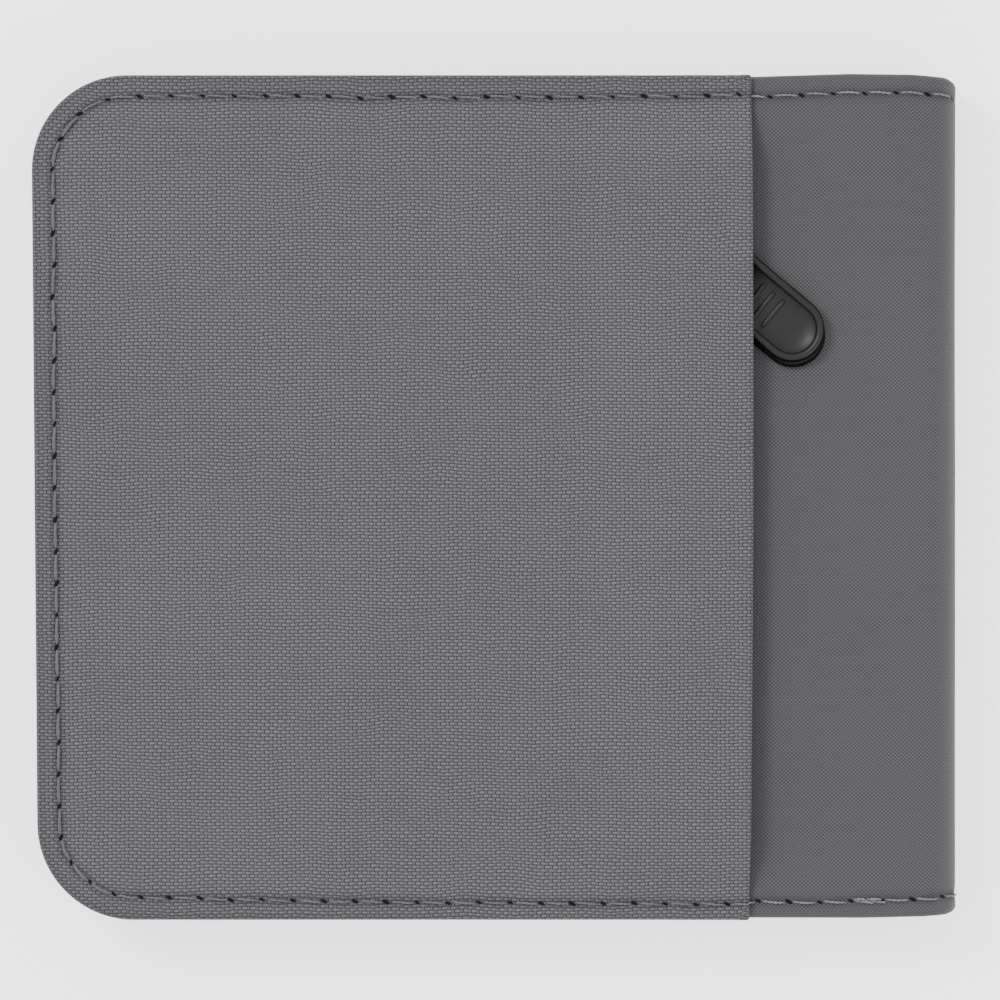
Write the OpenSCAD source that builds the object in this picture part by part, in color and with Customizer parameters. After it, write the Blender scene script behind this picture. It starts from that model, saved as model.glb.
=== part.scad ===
// Bifold wallet with a zipped coin pocket under a woven flap.
// Lies closed on its front cover: fold at +X, card openings toward +Y, zip side up.

/* [Closed wallet] */
// Width from the free edges to the outside of the fold
wallet_w = 110; // [100:1:125]
// Height along the fold
wallet_h = 101; // [92:1:110]
// Distance between the outer faces of the two covers
wallet_t = 10; // [10:0.5:12]
// Radius of the free corners
corner_r = 11.5; // [8:0.5:16]
// Radius of each of the two bends at the fold
fold_r = 3.5; // [3:0.1:4]
// How much shorter the fold is than the covers
fold_taper = 0.8; // [0:0.1:2]

/* [Fabrics] */
// Thickness of the fine cover fabric
cover_t = 0.5; // [0.4:0.05:0.6]
// Thickness of the coarse woven panel
woven_t = 0.7; // [0.5:0.05:0.9]
// Thickness of the lining cloth
lining_t = 0.25; // [0.2:0.05:0.3]
// Thickness of a pocket panel
pocket_t = 0.4; // [0.3:0.05:0.4]
// Room for a card behind a pocket panel
card_gap = 0.35; // [0.3:0.05:0.35]
// Room for folded notes in each half
note_gap = 0.5; // [0.4:0.05:0.5]
// Width of the sewn edge inside the pockets
seam_w = 4; // [3:0.25:5]

/* [Pockets] */
// How far the inner panels stop below the top edge
inner_drop = 7.5; // [5:0.5:12]
// Height of the highest card pocket above the bottom edge
pocket_h = 83; // [76:1:86]
// Step from one pocket mouth to the next
pocket_step = 13; // [10:0.5:15]
// Distance from the fold to the pockets' inner side
pocket_inset = 9; // [7:0.5:14]
// Width of the clear window
window_w = 76; // [60:1:80]
// Height of the clear window
window_h = 42; // [34:1:46]

/* [Flap over the zip] */
// Distance from the outside of the fold to the flap's free edge
flap_inset = 24.3; // [22:0.1:28]
// How far the flap stands off the cover
flap_rise = 2.4; // [2.4:0.1:4]
// Thickness of the folded flap
flap_t = 0.9; // [0.8:0.1:1.2]
// Length of the slope up to the flap
flap_ramp = 9; // [7:0.5:12]
// Length along the fold over which each end of the flap comes down
flap_end = 5.3; // [4:0.1:7]

/* [Zip] */
// Distance from the outside of the fold to the zip
zip_inset = 30.5; // [30:0.1:34]
// Length of the toothed part
zip_len = 70.8; // [60:1.2:72]
// Height of the zip's middle above the wallet's middle
zip_mid = 6.6; // [5:0.1:7]
// Pitch of the teeth
tooth_pitch = 1.2; // [1:0.1:1.5]
// Width of each half of the zip's tape
tape_w = 6.4; // [5:0.1:7]
// Height of the slider above the wallet's middle
slider_y = 29.4; // [0:0.1:36]

/* [Pull tab] */
// Width of the moulded grip
tab_w = 7.7; // [6:0.1:8]
// Length from the pivot to the tip
tab_len = 18.2; // [15:0.1:19]
// Thickness of the grip
tab_t = 1.7; // [1.4:0.1:1.7]
// Angle between the tab and the zip, at rest
tab_angle = 50; // [0:1:90]
// Width of the grip's raised rim
rim_w = 1.0; // [0.6:0.1:1.2]
// How far the grip's lower side slopes out past its rim
grip_flare = 0.7; // [0.1:0.1:1]

/* [Stitching] */
// Distance from one stitch to the next
stitch_pitch = 3.85; // [3:0.05:5]
// Distance of the seam from the edge
stitch_inset = 2.35; // [2:0.05:3]
// Thickness of the thread
thread_d = 0.35; // [0.25:0.05:0.45]
// Length of one stitch
stitch_len = 3.1; // [2.4:0.1:3.4]

/* [Hidden] */
$fn = 64;
fold_x = wallet_w / 2;
free_x = -fold_x;
top_y = wallet_h / 2;
bend_x = fold_x - fold_r;
low_z = fold_r;
high_z = wallet_t - fold_r;
fold_h = wallet_h - fold_taper;
board_t = cover_t;
front_stack = cover_t + board_t + lining_t;
inner_z = front_stack + note_gap;
panel_t = 0.3;
pockets_z = inner_z + panel_t;
layer_t = pocket_t + card_gap;
film_t = 0.2;
window_z = pockets_z + 2 * layer_t + card_gap;
tape_t = 0.4;
strip_z = wallet_t - cover_t;
tape_z = strip_z - tape_t;
coin_gap = 0.95;
wall_t = 0.3;
wall_z = tape_z - coin_gap - wall_t;
back_inner_z = wall_z - note_gap - panel_t;
back_mouth_z = back_inner_z - 3 * layer_t;
inner_top = top_y - inner_drop;
inner_x = bend_x - 0.5;
pocket_x = fold_x - pocket_inset;
first_mouth = -top_y + pocket_h;
zip_x = fold_x - zip_inset;
zip_y0 = zip_mid - zip_len / 2;
zip_y1 = zip_mid + zip_len / 2;
flap_x = fold_x - flap_inset;
flap_z = wallet_t + flap_rise;
ramp_x1 = zip_x - 4.5;
ramp_x0 = ramp_x1 - flap_ramp;
ramp_y1 = top_y - stitch_inset - 0.35;
ramp_y0 = ramp_y1 - flap_end;
tape_edge = 0.6;
tooth_in = 0.5;
tooth_l = 1.2;
tooth_d = 0.6;
slider_w = 6.6;
slider_gap = 0.2;
plate_t = 0.45;
under_z = tape_z - slider_gap;
over_z = strip_z + tooth_d + slider_gap;
deck_z = over_z + plate_t;
strip_x = zip_x + slider_w / 2 + slider_gap;
lining_x = zip_x - slider_w / 2 - slider_gap;
link_t = 0.45;
link_z = deck_z + 0.1;
crown_gap = link_t + 0.4;
crown_t = 0.45;
tab_z = wallet_t + 0.3;
grip_from = 4.95;
groove_d = 0.2;
groove_w = 0.7;
stitch_t = 0.2;
board_x = bend_x - 4.5;

// A flat shape with both corners on the free side rounded.
module rounded_left(x0, x1, y0, y1, r) {
    translate([x0 + r, y0]) square([x1 - x0 - r, y1 - y0]);
    translate([x0, y0 + r]) square([2 * r, y1 - y0 - 2 * r]);
    translate([x0 + r, y0 + r]) circle(r);
    translate([x0 + r, y1 - r]) circle(r);
}

// The outline of one half, moved in by a distance and ending at x1.
module half_shape(inset, x1) {
    rounded_left(free_x + inset, x1, -top_y + inset, top_y - inset, corner_r - inset);
}

// The same outline cut off level at the top.
module cut_shape(y1, x1) {
    intersection() {
        half_shape(0, x1);
        translate([free_x - 1, -top_y - 1]) square([x1 - free_x + 1, y1 + top_y + 1]);
    }
}

module plate(z, t) {
    translate([0, 0, z]) linear_extrude(t) children();
}

// A band along the free side and the bottom, open at the top, closed or not at the inner side.
module seam_shape(y1, x1, inner_closed) {
    difference() {
        cut_shape(y1, x1);
        rounded_left(free_x + seam_w, inner_closed ? x1 - seam_w : x1 + 5, -top_y + seam_w,
            top_y + 20, corner_r - seam_w);
    }
}

// The section of an eighth of a turn of cloth round a bend, starting at an angle from +X.
module bend(z, r, t, from) {
    translate([bend_x, z]) intersection() {
        difference() {
            circle(r);
            circle(r - t);
        }
        polygon([[0, 0], 2 * r * [cos(from), sin(from)], 2 * r * [cos(from + 45), sin(from + 45)]]);
    }
}

// Carries a section in X and Z along the fold.
module along_fold(h) {
    translate([0, h / 2, 0]) rotate([90, 0, 0]) linear_extrude(h) children();
}

// One pocket panel with its edges turned under on three sides.
module pocket(y1, z_face, z_under, x1) {
    lo = min(z_face, z_under);
    plate(z_face, pocket_t) cut_shape(y1, x1);
    if (z_under < z_face) plate(z_under, z_face - z_under) seam_shape(y1, x1, true);
    else plate(z_face + pocket_t, z_under - z_face - pocket_t) seam_shape(y1, x1, true);
}

// One stitch, lying along X.
module stitch(z, t) {
    translate([-stitch_len / 2, -thread_d / 2, z]) cube([stitch_len, thread_d, t]);
}

// Stitches along the top and the bottom from one x to another.
module straight_rows(x0, x1, z, t) {
    n = floor((x1 - x0) / stitch_pitch);
    for (side = [-1, 1], i = [0 : n - 1])
        translate([x0 + (i + 0.5) * stitch_pitch, side * (top_y - stitch_inset), 0]) stitch(z, t);
}

// Stitches round the free side, with both corners.
module free_side(z, t) {
    r = corner_r - stitch_inset;
    run = wallet_h - 2 * corner_r;
    n = round(run / stitch_pitch);
    for (i = [0 : n - 1])
        translate([free_x + stitch_inset, (i + 0.5 - n / 2) * run / n, 0]) rotate([0, 0, 90])
            stitch(z, t);
    for (side = [-1, 1], i = [0 : 3])
        translate([free_x + corner_r, side * (top_y - corner_r), 0])
            rotate([0, 0, side * (90 + 22.5 * (i + 0.5))]) translate([r, 0, 0])
                rotate([0, 0, 90]) stitch(z, t);
}

// The space under a surface that rises over the zip and comes down at both ends.
module mound(flat_z, high, edge, shift) {
    intersection() {
        translate([0, top_y + 1, 0]) rotate([90, 0, 0]) linear_extrude(wallet_h + 2)
            polygon([[free_x - 1, 0], [free_x - 1, flat_z], [ramp_x0 + shift, flat_z],
                [ramp_x1, high], [edge, high], [edge, 0]]);
        translate([free_x - 1, 0, 0]) rotate([90, 0, 90]) linear_extrude(wallet_w + 2)
            polygon([[-top_y - 1, 0], [-top_y - 1, flat_z], [-ramp_y1, flat_z], [-ramp_y0, high],
                [ramp_y0, high], [ramp_y1, flat_z], [top_y + 1, flat_z], [top_y + 1, 0]]);
    }
}

module front_cover() color("#5c5a60") {
    difference() {
        plate(0, cover_t) half_shape(0, bend_x);
        plate(-1, 1 + groove_d) difference() {
            half_shape(stitch_inset - groove_w / 2, bend_x - 0.5);
            half_shape(stitch_inset + groove_w / 2, bend_x + 5);
        }
    }
    along_fold(fold_h) bend(low_z, fold_r, cover_t, -90);
}

module front_board() color("#8a7f6b")
    plate(cover_t, board_t) half_shape(seam_w, board_x);

module front_lining() color("#2f3238") {
    plate(cover_t + board_t, lining_t) half_shape(0, board_x + lining_t);
    plate(cover_t, board_t) difference() {
        half_shape(0, board_x + lining_t);
        half_shape(seam_w, board_x);
    }
    translate([board_x, -top_y, cover_t]) cube([bend_x - board_x, wallet_h, lining_t]);
    along_fold(fold_h) bend(low_z, fold_r - cover_t, lining_t, -90);
}

module front_note_seam() color("#2a2c31")
    plate(front_stack, note_gap) seam_shape(inner_top, inner_x, false);

module front_inner_panel() color("#34373d")
    plate(inner_z, panel_t) cut_shape(inner_top, inner_x);

module front_pocket_back() color("#3b3e45")
    pocket(first_mouth, pockets_z + card_gap, pockets_z, pocket_x);

module front_pocket_mid() color("#3e4148")
    pocket(first_mouth - pocket_step, pockets_z + layer_t + card_gap, pockets_z + layer_t, pocket_x);

module window_frame() color("#42454c") {
    y1 = first_mouth - 2 * pocket_step;
    xm = (free_x + pocket_x) / 2;
    ym = (-top_y + y1) / 2;
    difference() {
        plate(window_z + film_t, pocket_t) cut_shape(y1, pocket_x);
        translate([xm - window_w / 2, ym - window_h / 2, window_z]) cube([window_w, window_h, 5]);
    }
    plate(window_z - card_gap, card_gap + film_t) seam_shape(y1, pocket_x, true);
}

module window_film() color("#dfe6ea") {
    y1 = first_mouth - 2 * pocket_step;
    xm = (free_x + pocket_x) / 2;
    ym = (-top_y + y1) / 2;
    translate([xm - window_w / 2 - 2.5, ym - window_h / 2 - 2.5, window_z])
        cube([window_w + 5, window_h + 5, film_t]);
}

module front_stitching() color("#77767c") {
    free_side(0, stitch_t);
    straight_rows(free_x + corner_r, bend_x - 0.5, 0, stitch_t);
}

module spine_cover() color("#5c5a60") {
    difference() {
        along_fold(fold_h) {
            bend(low_z, fold_r, cover_t, -45);
            bend(high_z, fold_r, cover_t, 0);
            translate([fold_x - cover_t, low_z]) square([cover_t, high_z - low_z]);
        }
        for (side = [-1, 1])
            translate([fold_x - groove_d, side * (top_y - stitch_inset - 0.7) - groove_w / 2, 0])
                cube([1, groove_w, wallet_t]);
    }
}

module spine_lining() color("#2f3238") {
    r = fold_r - cover_t;
    along_fold(fold_h) {
        bend(low_z, r, lining_t, -45);
        bend(high_z, r, lining_t, 0);
        translate([bend_x + r - lining_t, low_z]) square([lining_t, high_z - low_z]);
    }
}

module spine_inner_panel() color("#34373d")
    translate([bend_x + 0.5, -fold_h / 2, inner_z + 0.6])
        cube([panel_t, fold_h / 2 + inner_top, back_inner_z - inner_z - 1]);

module spine_stitching() color("#77767c")
    for (side = [-1, 1])
        translate([fold_x - stitch_t, side * (top_y - stitch_inset - 0.7) - thread_d / 2, low_z])
            cube([stitch_t, thread_d, high_z - low_z]);

module back_cover_strip() color("#64626a") {
    translate([strip_x, -top_y, strip_z]) cube([bend_x - strip_x, wallet_h, cover_t]);
    along_fold(fold_h) bend(high_z, fold_r, cover_t, 45);
}

module back_fold_lining() color("#2f3238") {
    translate([board_x + 0.5, -top_y, strip_z - lining_t])
        cube([bend_x - board_x - 0.5, wallet_h, lining_t]);
    along_fold(fold_h) bend(high_z, fold_r - cover_t, lining_t, 45);
}

module woven_panel() color("#717076")
    intersection() {
        difference() {
            mound(wallet_t + woven_t, flap_z + flap_t, flap_x, 0.3);
            mound(wallet_t, flap_z, flap_x + 1, 0);
            translate([-100, -100, -1]) cube([200, 200, wallet_t + 1]);
        }
        plate(-1, 30) half_shape(0, fold_x);
    }

module panel_backing() color("#2f3238")
    plate(strip_z, cover_t) half_shape(0, lining_x);

module tape(side) {
    x = side < 0 ? zip_x - tape_edge - tape_w : zip_x + tape_edge;
    translate([x, zip_y0 - 6, tape_z]) cube([tape_w, zip_len + 9, tape_t]);
}

module zip_tape_left() color("#1d1d20") tape(-1);
module zip_tape_right() color("#1d1d20") tape(1);

module teeth(side, shift) {
    n = floor(zip_len / tooth_pitch);
    x = side < 0 ? zip_x - tooth_in - tooth_l : zip_x + tooth_in;
    for (i = [0 : n - 1])
        translate([x, zip_y0 + (i + shift) * tooth_pitch, strip_z]) rotate([90, 0, 90])
            linear_extrude(tooth_l) {
                translate([-tooth_d / 2, 0]) square([tooth_d, tooth_d / 2]);
                translate([0, tooth_d / 2]) circle(tooth_d / 2);
            }
}

module zip_teeth_left() color("#26262a") teeth(-1, 0.25);
module zip_teeth_right() color("#26262a") teeth(1, 0.75);

module zip_top_stops() color("#9a9a9c")
    for (side = [-1, 1])
        difference() {
            translate([side < 0 ? zip_x - 1.9 : zip_x + 0.3, zip_y1 + 0.15, tape_z - 0.2])
                cube([1.6, 1.2, tape_t + 0.8]);
            tape(side);
        }

module zip_bottom_stop() color("#9a9a9c")
    difference() {
        translate([zip_x - 2.1, zip_y0 - 1.5, tape_z - 0.2]) cube([4.2, 1.2, tape_t + 0.8]);
        tape(-1);
        tape(1);
    }

module zip_seam_stitching() color("#6c6b71") {
    n = floor(zip_len / stitch_pitch);
    for (i = [0 : n - 1])
        translate([strip_x + 0.9, zip_y0 + (i + 0.5) * stitch_pitch, 0]) rotate([0, 0, 90])
            stitch(wallet_t, stitch_t);
}

module coin_pocket_seam() color("#2a2c31")
    plate(wall_z + wall_t, strip_z - wall_z - wall_t) difference() {
        half_shape(0, board_x);
        rounded_left(free_x + seam_w, board_x + 5, -top_y + seam_w, top_y - seam_w,
            corner_r - seam_w);
        translate([zip_x - 8, zip_y0 - 7]) square([16, zip_len + 11]);
    }

module coin_pocket_back_wall() color("#2f3238") {
    plate(wall_z, wall_t) half_shape(0, inner_x);
    translate([board_x, -top_y + seam_w, wall_z + wall_t - 0.01])
        cube([lining_t, wallet_h - 2 * seam_w, strip_z - lining_t - wall_z - wall_t]);
}

module back_note_seam() color("#2a2c31")
    plate(back_inner_z + panel_t, note_gap) seam_shape(inner_top, inner_x, false);

module back_inner_panel() color("#34373d")
    plate(back_inner_z, panel_t) cut_shape(inner_top, inner_x);

module back_pocket(k) {
    z = back_inner_z - (k + 1) * layer_t;
    pocket(first_mouth - k * pocket_step, z, z + layer_t, pocket_x);
}

module back_pocket_back() color("#3b3e45") back_pocket(0);
module back_pocket_mid() color("#3e4148") back_pocket(1);
module back_pocket_front() color("#42454c") back_pocket(2);

module panel_stitching() color("#8d8c92") {
    free_side(wallet_t + woven_t, stitch_t);
    straight_rows(free_x + corner_r, flap_x - 0.4, wallet_t + woven_t, stitch_t);
}

module strip_stitching() color("#85848b")
    straight_rows(flap_x + 1, bend_x, wallet_t, stitch_t);

module seam_backstitch() color("#8d8c92")
    for (i = [0 : 2])
        translate([bend_x - 7.4 + 1.9 * i, -top_y + stitch_inset + 0.5 + 0.12 * i, 0])
            rotate([0, 0, 5 - 6 * i]) translate([stitch_len / 4, 0, 0]) scale([0.5, 1, 1])
                stitch(wallet_t, stitch_t);

module slider_shape() {
    h = slider_w / 2;
    polygon([[-h, 3.4], [-h, -0.6], [-2.4, -4.2], [2.4, -4.2], [h, -0.6], [h, 3.4]]);
    translate([-h + 1.1, 3.3]) square([slider_w - 2.2, 1.2]);
    for (side = [-1, 1]) translate([side * (h - 1.1), 3.4]) circle(1.1);
}

module at_slider() translate([zip_x, slider_y, 0]) children();

module slider_body() color("#3a3a3d") at_slider() {
    plate(under_z - plate_t, plate_t) slider_shape();
    plate(over_z, plate_t) slider_shape();
    translate([-0.25, 2.3, under_z - 0.1]) cube([0.5, 1.9, over_z - under_z + 0.2]);
    for (side = [-1, 1])
        translate([side * (slider_w / 2 - 0.2) - 0.2, -0.4, strip_z + 0.25])
            cube([0.4, 3.7, over_z - strip_z]);
}

module slider_crown() color("#3a3a3d") at_slider() {
    for (y = [0, 2.95]) {
        translate([0, y, deck_z]) cylinder(r = 0.7, h = crown_gap + 0.1);
        translate([0, y, deck_z + crown_gap]) cylinder(r = 0.75, h = crown_t);
    }
    translate([-0.75, 0, deck_z + crown_gap]) cube([1.5, 2.95, crown_t]);
}

// Turns the tab about the crown's lower post; its own axis runs along X.
module at_tab() at_slider() rotate([0, 0, tab_angle - 90]) children();

module link_tail()
    translate([1.4, -1.2, link_z]) cube([9 - 1.4, 2.4, link_t]);

module pull_link() color("#3a3a3d") at_tab()
    difference() {
        union() {
            translate([0, 0, link_z]) cylinder(r = 1.8, h = link_t);
            link_tail();
        }
        translate([0, 0, link_z - 1]) cylinder(r = 1.05, h = link_t + 2);
    }

// Half of the grip's cross-section, with the dish and the rounded rim.
module grip_half() {
    h = tab_w / 2;
    floor_h = tab_t - rim_w / 2;
    square([h - 0.3, floor_h - 0.15]);
    translate([0, 0.3]) square([h, floor_h - 0.45]);
    translate([h - 0.3, 0.3]) circle(0.3);
    translate([h - rim_w, 0.6]) square([rim_w, floor_h - 0.6]);
    translate([h - rim_w / 2, floor_h]) circle(rim_w / 2);
}

// The grip's outline, from the link to the round tip.
module grip_outline(h) {
    translate([grip_from, -h]) square([tab_len - tab_w / 2 - grip_from, 2 * h]);
    translate([tab_len - tab_w / 2, 0]) circle(h, $fn = 48);
}

// The sloping side under the rim, which spreads towards the bottom edge of the wallet.
module grip_side()
    hull() {
        translate([0, 0, tab_z + 0.85]) linear_extrude(0.05) grip_outline(tab_w / 2);
        rotate([0, 0, 90 - tab_angle]) translate([0.15, -grip_flare, 0])
            rotate([0, 0, tab_angle - 90]) translate([0, 0, tab_z + 0.15])
                linear_extrude(0.15) grip_outline(tab_w / 2);
        rotate([0, 0, 90 - tab_angle]) translate([0.1, 0.15 - grip_flare, 0])
            rotate([0, 0, tab_angle - 90]) translate([0, 0, tab_z])
                linear_extrude(0.1) grip_outline(tab_w / 2 - 0.15);
    }

module pull_grip() color("#242426") at_tab() {
    end = tab_len - tab_w / 2;
    floor_z = tab_z + tab_t - rim_w / 2 - 0.15;
    difference() {
        union() {
            for (side = [0, 1]) mirror([0, side, 0])
                translate([grip_from, 0, tab_z]) rotate([90, 0, 90])
                    linear_extrude(end - grip_from) grip_half();
            translate([end, 0, tab_z]) rotate([0, 0, -90]) rotate_extrude(angle = 180) grip_half();
            grip_side();
            translate([grip_from, -tab_w / 2 + 0.4, tab_z + 0.6])
                cube([0.9, tab_w - 0.8, floor_z - tab_z - 0.35]);
            for (i = [0 : 2])
                translate([8.4 + 1.5 * i, 1.9, floor_z - 0.05]) rotate([90, 0, 0])
                    cylinder(r = 0.3, h = 3.8);
        }
        link_tail();
    }
}

front_cover();
front_board();
front_lining();
front_note_seam();
front_inner_panel();
front_pocket_back();
front_pocket_mid();
window_frame();
window_film();
front_stitching();
spine_cover();
spine_lining();
spine_inner_panel();
spine_stitching();
back_cover_strip();
back_fold_lining();
woven_panel();
panel_backing();
zip_tape_left();
zip_tape_right();
zip_teeth_left();
zip_teeth_right();
zip_top_stops();
zip_bottom_stop();
zip_seam_stitching();
coin_pocket_seam();
coin_pocket_back_wall();
back_note_seam();
back_inner_panel();
back_pocket_back();
back_pocket_mid();
back_pocket_front();
panel_stitching();
strip_stitching();
seam_backstitch();
slider_body();
slider_crown();
pull_link();
pull_grip();
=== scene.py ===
import math

import bmesh
import bpy
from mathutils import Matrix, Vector, noise


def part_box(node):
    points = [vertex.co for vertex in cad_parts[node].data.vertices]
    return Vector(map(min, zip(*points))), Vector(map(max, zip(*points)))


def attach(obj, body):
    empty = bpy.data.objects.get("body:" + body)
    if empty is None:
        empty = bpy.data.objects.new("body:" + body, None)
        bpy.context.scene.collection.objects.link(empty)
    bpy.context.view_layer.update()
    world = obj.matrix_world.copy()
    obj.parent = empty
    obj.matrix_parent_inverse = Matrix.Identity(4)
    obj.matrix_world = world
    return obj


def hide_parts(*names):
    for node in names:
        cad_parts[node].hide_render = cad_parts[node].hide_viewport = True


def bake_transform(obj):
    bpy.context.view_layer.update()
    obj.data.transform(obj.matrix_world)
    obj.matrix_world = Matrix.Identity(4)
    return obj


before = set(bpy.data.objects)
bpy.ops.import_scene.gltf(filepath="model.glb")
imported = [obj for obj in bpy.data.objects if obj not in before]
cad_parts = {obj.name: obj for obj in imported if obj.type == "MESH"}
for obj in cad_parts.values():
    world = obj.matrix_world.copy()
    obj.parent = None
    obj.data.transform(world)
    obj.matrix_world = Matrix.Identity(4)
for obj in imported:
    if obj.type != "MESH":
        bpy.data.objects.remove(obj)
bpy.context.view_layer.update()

mm = 0.001

# The closed wallet's outline and fold, in millimetres; the heights come from the CAD nodes.
wallet = {
    "freeX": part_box("front_cover")[0].x / mm,  # free edges, at the left
    "foldX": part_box("spine_cover")[1].x / mm,  # outside of the fold
    "halfHeight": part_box("front_cover")[1].y / mm,
    "thickness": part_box("back_cover_strip")[1].z / mm,  # between the two outer faces
    "cornerRadius": 11.5,
    "foldRadius": 3.5,
    "foldBulge": 0.36,  # how much the cloth swells out over the fold
    "lean": 0.0085,  # how much the free side is out of square
    "leanShift": 0.12,
    "leanFrom": 20.0,  # the lean grows from here towards the free side
    "leanOver": 70.0,
    "topRise": 0.12,  # the top edge stands a little higher than the bottom one
}
# The edge seam, in millimetres. Lengths run along it from the end of the top edge's straight
# part: negative towards the fold, positive round the free side to the bottom edge. Some holes
# are given as (length, number), and the others lie evenly between them.
seam = {
    "inset": 2.4,
    "holes": ((-99.08, -26), (-63.5, -16.57), (-1.45, 0), (17.8, 5), (93.95, 25),
              (110.85, 30), (170.1, 45.91), (207.5, 56)),
    "pitch": 3.8,
    "drift": ((-102, -0.65), (-98, -0.3), (-84, -0.15), (-65, 0.05), (-33, 0.2), (-12, 0.0),
              (14, 0.2), (48, 0.05), (90, 0.3), (104, 0.4), (118, 0.1), (136, -0.25),
              (170, -0.45), (187, -0.45), (204, -0.15)),  # how far inside its line it strays
    "wander": 0.14,  # and how far it wavers besides
}
# How far the outline draws in towards the fold, by place along the cloth, in millimetres.
drawIn = {
    "top": ((31, 0.15), (42.5, -0.2), (50, -0.1), (54.5, 0.25), (57, 0.9), (58.5, 1.05)),
    "bottom": ((20, 0.25), (44, 0.2), (50.8, 0.35), (54.5, 0.55), (57, 1.0), (58.5, 1.1)),
}
bendX = wallet["foldX"] - wallet["foldRadius"]
quarter = wallet["foldRadius"] * math.pi / 2
midSpine = bendX + quarter + wallet["thickness"] / 2 - wallet["foldRadius"]
cornerX = wallet["freeX"] + wallet["cornerRadius"]
cornerY = wallet["halfHeight"] - wallet["cornerRadius"]
cornerArc = (wallet["cornerRadius"] - seam["inset"]) * math.pi / 2


def level(node, end):  # height of a CAD node's underside (0) or top (1), in millimetres
    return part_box(node)[end].z / mm


def smooth(value, low, high):
    t = min(1.0, max(0.0, (value - low) / (high - low)))
    return t * t * (3 - 2 * t)


def between(table, value):  # the value of a table of (place, amount) pairs
    if value <= table[0][0]:
        return table[0][1]
    for (low, first), (high, second) in zip(table, table[1:]):
        if value <= high:
            return first + (second - first) * (value - low) / (high - low)
    return table[-1][1]


def ripple(x, y, size, seed):  # even, smooth unevenness from -1 to 1
    return noise.noise(Vector((x / size, y / size, seed)))


class Wire:
    def __init__(self, graph, socket):
        self.graph = graph
        self.socket = socket

    def __add__(self, other):
        return self.graph.math("ADD", self, other)

    def __radd__(self, other):
        return self.graph.math("ADD", other, self)

    def __sub__(self, other):
        return self.graph.math("SUBTRACT", self, other)

    def __rsub__(self, other):
        return self.graph.math("SUBTRACT", other, self)

    def __mul__(self, other):
        return self.graph.math("MULTIPLY", self, other)

    def __rmul__(self, other):
        return self.graph.math("MULTIPLY", other, self)

    def __truediv__(self, other):
        return self.graph.math("DIVIDE", self, other)

    def __rtruediv__(self, other):
        return self.graph.math("DIVIDE", other, self)

    def __pow__(self, other):
        return self.graph.math("POWER", self, other)


class Graph:
    def __init__(self, name):
        self.material = bpy.data.materials.new(name)
        self.material.use_nodes = True
        self.tree = self.material.node_tree
        self.tree.nodes.clear()

    def make(self, kind, settings=None, values=None, out=0):
        made = self.tree.nodes.new(kind)
        for key, value in (settings or {}).items():
            setattr(made, key, value)
        for key, value in (values or {}).items():
            if isinstance(value, Wire):
                self.tree.links.new(value.socket, made.inputs[key])
            else:
                made.inputs[key].default_value = value
        return Wire(self, made.outputs[out])

    def math(self, operation, a, b=0.0, c=0.0):
        return self.make("ShaderNodeMath", {"operation": operation}, {0: a, 1: b, 2: c})

    def clip(self, a):
        return self.make("ShaderNodeMath", {"operation": "ADD", "use_clamp": True}, {0: a, 1: 0.0})

    def step(self, value, low, high, start=0.0, end=1.0):
        values = {0: value, 1: low, 2: high, 3: start, 4: end}
        return self.make("ShaderNodeMapRange", {"interpolation_type": "SMOOTHSTEP"}, values)

    def mix(self, amount, a, b):
        values = {0: amount, 6: a, 7: b}
        return self.make("ShaderNodeMix", {"data_type": "RGBA"}, values, out=2)

    def uv(self, name):
        place = self.make("ShaderNodeUVMap", {"uv_map": name})
        return self.split(place)

    def objectPlace(self):
        return self.make("ShaderNodeTexCoord", out=3)

    def split(self, vector):
        x = self.make("ShaderNodeSeparateXYZ", None, {0: vector})
        parts = x.socket.node.outputs
        return x, Wire(self, parts[1]), Wire(self, parts[2])

    def join(self, x, y, z=0.0):
        return self.make("ShaderNodeCombineXYZ", None, {0: x, 1: y, 2: z})

    def noise(self, vector, scale, detail=2.0, roughness=0.5):
        values = {"Vector": vector, "Scale": scale, "Detail": detail, "Roughness": roughness}
        return self.make("ShaderNodeTexNoise", None, values)

    def random(self, value):
        return self.make("ShaderNodeTexWhiteNoise", {"noise_dimensions": "1D"}, {"W": value})

    def bump(self, height, distance, strength=1.0):
        values = {"Height": height, "Distance": distance, "Strength": strength}
        return self.make("ShaderNodeBump", None, values)

    def finish(self, values, amount=None, other=None):
        shader = self.make("ShaderNodeBsdfPrincipled", None, values)
        if other:
            shader = self.make("ShaderNodeMixShader", None, {0: amount, 1: shader, 2: other})
        surface = self.tree.nodes.new("ShaderNodeOutputMaterial").inputs[0]
        self.tree.links.new(shader.socket, surface)
        return self.material


def grey(value, tint=(1.0, 1.0, 1.0)):
    return (value * tint[0], value * tint[1], value * tint[2], 1.0)


# How closely the yarns' unevenness varies, in cycles per millimetre.
yarnNoise = {"slow": 0.12, "quick": 0.9, "fibreAlong": 2.2, "fibreAcross": 16.0, "patch": 0.05,
             "fuzz": 7.0}


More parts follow.
